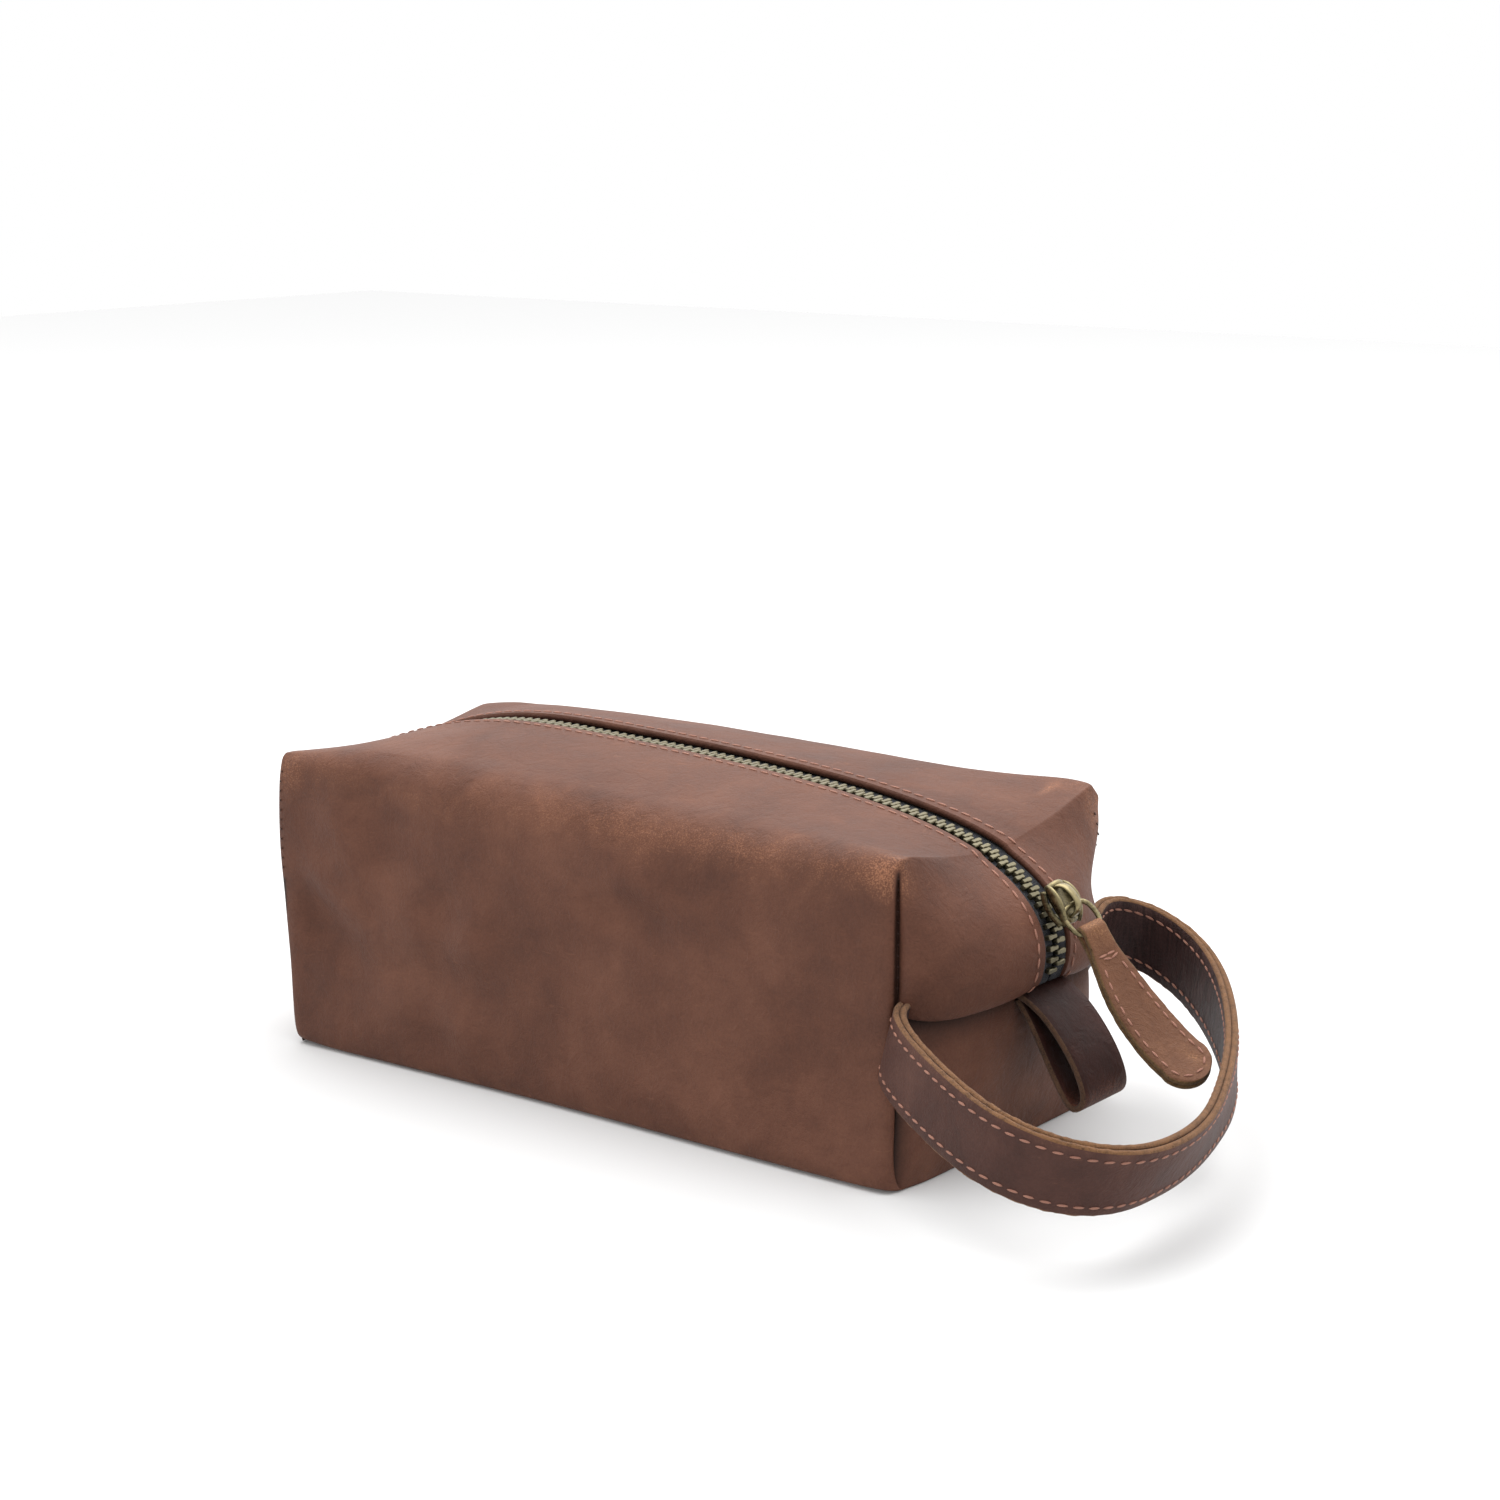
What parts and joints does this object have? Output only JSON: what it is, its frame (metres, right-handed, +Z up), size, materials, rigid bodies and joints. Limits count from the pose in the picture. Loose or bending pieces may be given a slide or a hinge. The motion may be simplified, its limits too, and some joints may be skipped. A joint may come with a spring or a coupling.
{
  "type": "shaving kit bag",
  "caption": "Boxy leather shaving kit bag with a metal zip over its top and ends, a strap handle at one end and a folded end tab.",
  "frame": {"origin": "centre of the base, on the surface the bag stands on", "axes": "+X towards the end with the strap handle and the closed end of the zip, +Y to the back, +Z up"},
  "size_m": [0.3625, 0.1759, 0.1108],
  "materials": {
    "leather": "oiled pull-up leather, satin",
    "pull_leather": "oiled leather, satin",
    "strap_leather": "oiled leather, satin",
    "dark_leather": "oiled leather, satin",
    "tape": "woven tape, matt",
    "thread": "waxed thread",
    "teeth": "antique brass",
    "slider": "antique brass, worn edges"
  },
  "bodies": {
    "bag": {"bag_leather": "leather", "zip_tape_end_left": "tape", "zip_tape_end_right": "tape", "zip_teeth_ends": "teeth", "zip_end_stops": "teeth", "zip_stitching_ends": "thread"},
    "mouth_front": {"top_flap_front": "leather", "zip_tape_front": "tape", "zip_teeth_front": "teeth", "zip_stitching_front": "thread"},
    "mouth_back": {"top_flap_back": "leather", "zip_tape_back": "tape", "zip_teeth_back": "teeth", "zip_stitching_back": "thread"},
    "slider": {"zip_slider": "slider"},
    "ring": {"pull_ring": "slider"},
    "pull": {"zip_pull": "pull_leather", "pull_stitching": "thread"},
    "handle": {"handle_outer_strap": "strap_leather", "handle_inner_strap": "dark_leather", "handle_stitching": "thread"},
    "tab": {"end_tab": "dark_leather"}
  },
  "joints": [
    {"name": "zip_open", "type": "hinge", "parent": "bag", "child": "slider", "pos_m": [0, 0, -0.0416], "axis": [0, -1, 0], "range_deg": [0, 100]},
    {"name": "mouth_front_fold", "type": "hinge", "parent": "bag", "child": "mouth_front", "pos_m": [0, -0.052, 0.1055], "axis": [1, 0, 0], "range_deg": [0, 70]},
    {"name": "mouth_back_fold", "type": "hinge", "parent": "bag", "child": "mouth_back", "pos_m": [0, 0.052, 0.1055], "axis": [-1, 0, 0], "range_deg": [0, 70]},
    {"name": "ring_swing", "type": "hinge", "parent": "slider", "child": "ring", "pos_m": [0.14913, 0, 0.07919], "axis": [0, -1, 0], "range_deg": [0, 130]},
    {"name": "pull_swing", "type": "hinge", "parent": "ring", "child": "pull", "pos_m": [0.15632, 0, 0.07224], "axis": [0, -1, 0], "range_deg": [0, 30]},
    {"name": "handle_swing", "type": "hinge", "parent": "bag", "child": "handle", "pos_m": [0.1232, 0, 0.0456], "axis": [0, -1, 0], "range_deg": [0, 75]},
    {"name": "tab_swing", "type": "hinge", "parent": "bag", "child": "tab", "pos_m": [0.1455, 0, 0.0475], "axis": [0, -1, 0], "range_deg": [0, 15]}
  ],
  "couplings": [
    {"joint": "mouth_front_fold", "follows": "zip_open", "ratio": 0.7},
    {"joint": "mouth_back_fold", "follows": "zip_open", "ratio": 0.7}
  ]
}
